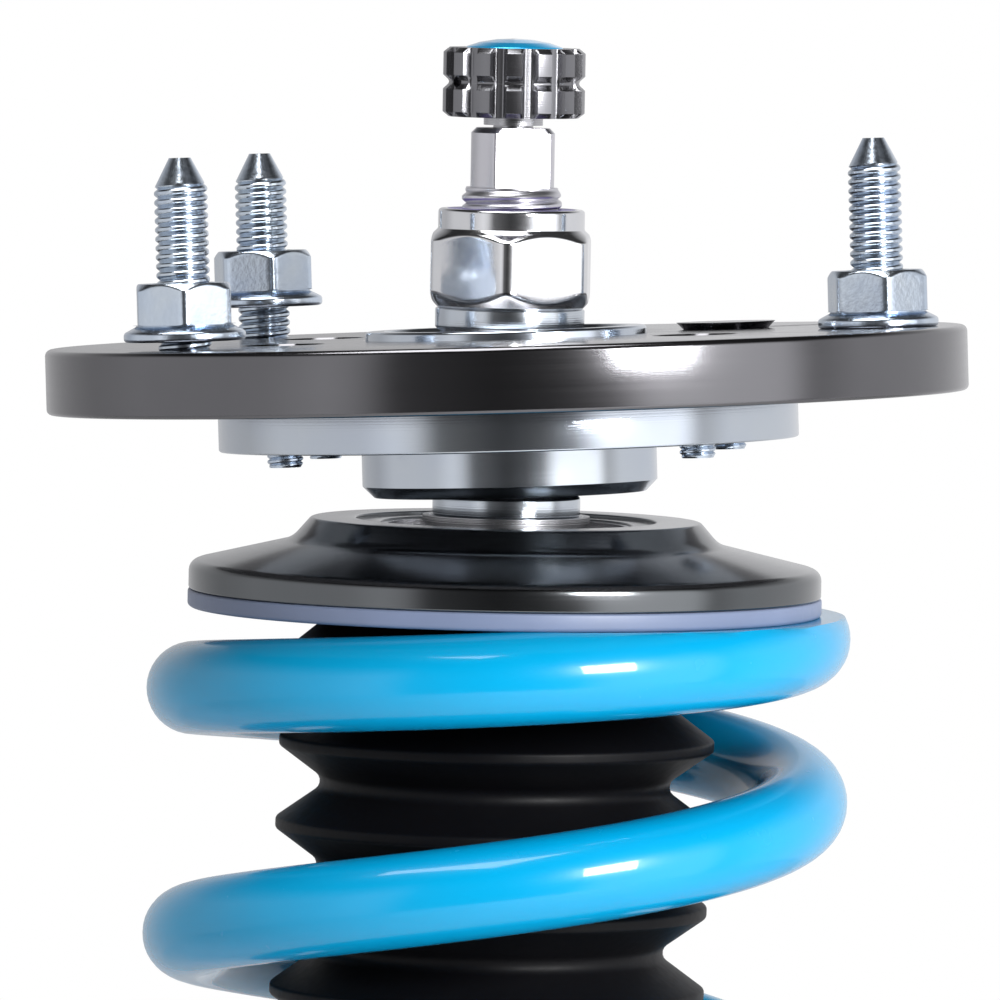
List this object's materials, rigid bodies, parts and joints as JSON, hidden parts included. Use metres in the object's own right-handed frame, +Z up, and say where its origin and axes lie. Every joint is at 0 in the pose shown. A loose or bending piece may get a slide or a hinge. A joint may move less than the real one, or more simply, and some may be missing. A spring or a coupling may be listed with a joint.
{
  "type": "coilover strut",
  "caption": "Height adjustable coilover strut with a swivelling top mount, damping knob, coil spring, pleated boot and knuckle bracket.",
  "frame": {"origin": "centre of the ball in the top mount", "axes": "+Z up the piston rod, +X to the side with the single stud"},
  "size_m": [0.1309, 0.1291, 0.4923],
  "materials": {
    "black_anodised": "black anodised, satin gloss",
    "zinc_plate": "bright zinc plated steel",
    "machined_steel": "turned steel",
    "hard_chrome": "hard chromed rod",
    "bearing_steel": "ground bearing steel",
    "spring_paint": "blue gloss powder coat",
    "isolator": "blue grey plastic",
    "boot_rubber": "black rubber",
    "bump_foam": "cellular urethane",
    "nylon": "violet nylon",
    "cap_blue": "blue anodised",
    "seal_rubber": "nitrile rubber",
    "band_polymer": "bronze filled polymer",
    "alloy": "machined aluminium",
    "bracket_paint": "black powder coat"
  },
  "bodies": {
    "top_mount": {"top_plate": "black_anodised", "mount_studs": "zinc_plate", "stud_nuts": "zinc_plate", "bearing_housing": "zinc_plate", "housing_screws": "zinc_plate", "retaining_ring": "bearing_steel"},
    "race": {"ball_race": "bearing_steel"},
    "rod": {"pivot_ball": "bearing_steel", "upper_collar": "zinc_plate", "lower_spacer": "zinc_plate", "piston_rod": "hard_chrome", "rod_nut": "zinc_plate", "nylon_insert": "nylon", "bearing_inner_ring": "bearing_steel", "bump_washer": "machined_steel", "bump_stop": "bump_foam", "piston": "alloy", "piston_band": "band_polymer", "shim_stack": "bearing_steel", "piston_nut": "machined_steel"},
    "knob": {"adjuster_stem": "machined_steel", "adjuster_knob": "black_anodised", "grub_screw": "machined_steel", "knob_cap": "cap_blue"},
    "metering": {"metering_rod": "machined_steel"},
    "upper_seat": {"spring_seat": "black_anodised", "seat_snap_ring": "bearing_steel", "bearing_outer_ring": "bearing_steel", "bearing_balls": "bearing_steel", "bearing_seals": "seal_rubber", "upper_spring_pad": "isolator", "coil_spring": "spring_paint", "dust_boot": "boot_rubber"},
    "damper_body": {"pressure_tube": "machined_steel", "base_cap": "machined_steel", "gas_valve": "machined_steel", "gland_cap": "black_anodised", "rod_wiper": "seal_rubber", "rod_guide": "alloy", "rod_seal": "seal_rubber", "threaded_sleeve": "zinc_plate"},
    "gas_piston": {"floating_piston": "alloy", "float_seal": "seal_rubber"},
    "lower_seat": {"lower_spring_perch": "black_anodised", "lower_spring_pad": "isolator"},
    "height_adjuster": {"adjuster_ring": "black_anodised", "perch_lock_ring": "black_anodised"},
    "bracket": {"knuckle_bracket": "bracket_paint", "bracket_lock_ring": "black_anodised"}
  },
  "joints": [
    {"name": "mount_swivel", "type": "hinge", "parent": "top_mount", "child": "race", "pos_m": [0, 0, 0], "axis": [-0.0462, 0.0209, 0.9987], "continuous": true},
    {"name": "mount_tilt", "type": "hinge", "parent": "race", "child": "rod", "pos_m": [0, 0, 0], "axis": [0.4122, 0.9111, 0], "range_deg": [-12.4, 6.6]},
    {"name": "steering", "type": "hinge", "parent": "rod", "child": "upper_seat", "pos_m": [0, 0, 0], "axis": [0, 0, 1], "continuous": true},
    {"name": "stroke", "type": "slide", "parent": "upper_seat", "child": "damper_body", "axis": [0, 0, 1], "range_m": [0, 0.055], "stiffness_N_per_m": 60000, "deforming": ["coil_spring", "dust_boot"]},
    {"name": "gas_piston_slide", "type": "slide", "parent": "damper_body", "child": "gas_piston", "axis": [0, 0, 1], "range_m": [-0.0153, 0]},
    {"name": "lower_seat_slide", "type": "slide", "parent": "damper_body", "child": "lower_seat", "axis": [0, 0, 1], "range_m": [-0.03, 0]},
    {"name": "adjuster_turn", "type": "hinge", "parent": "lower_seat", "child": "height_adjuster", "pos_m": [0, 0, 0], "axis": [0, 0, 1], "range_deg": [-5400, 0]},
    {"name": "bracket_slide", "type": "slide", "parent": "damper_body", "child": "bracket", "axis": [0, 0, 1], "range_m": [-0.02, 0.02]},
    {"name": "knob_turn", "type": "hinge", "parent": "rod", "child": "knob", "pos_m": [0, 0, 0], "axis": [0, 0, 1], "range_deg": [-540, 540]},
    {"name": "metering_slide", "type": "slide", "parent": "rod", "child": "metering", "axis": [0, 0, 1], "range_m": [-0.0015, 0.0015]}
  ],
  "couplings": [
    {"joint": "gas_piston_slide", "follows": "stroke", "ratio": -0.27701},
    {"joint": "lower_seat_slide", "follows": "adjuster_turn", "m_per_rad": 0.00031831},
    {"joint": "knob_turn", "follows": "metering_slide", "rad_per_m": 6283}
  ]
}
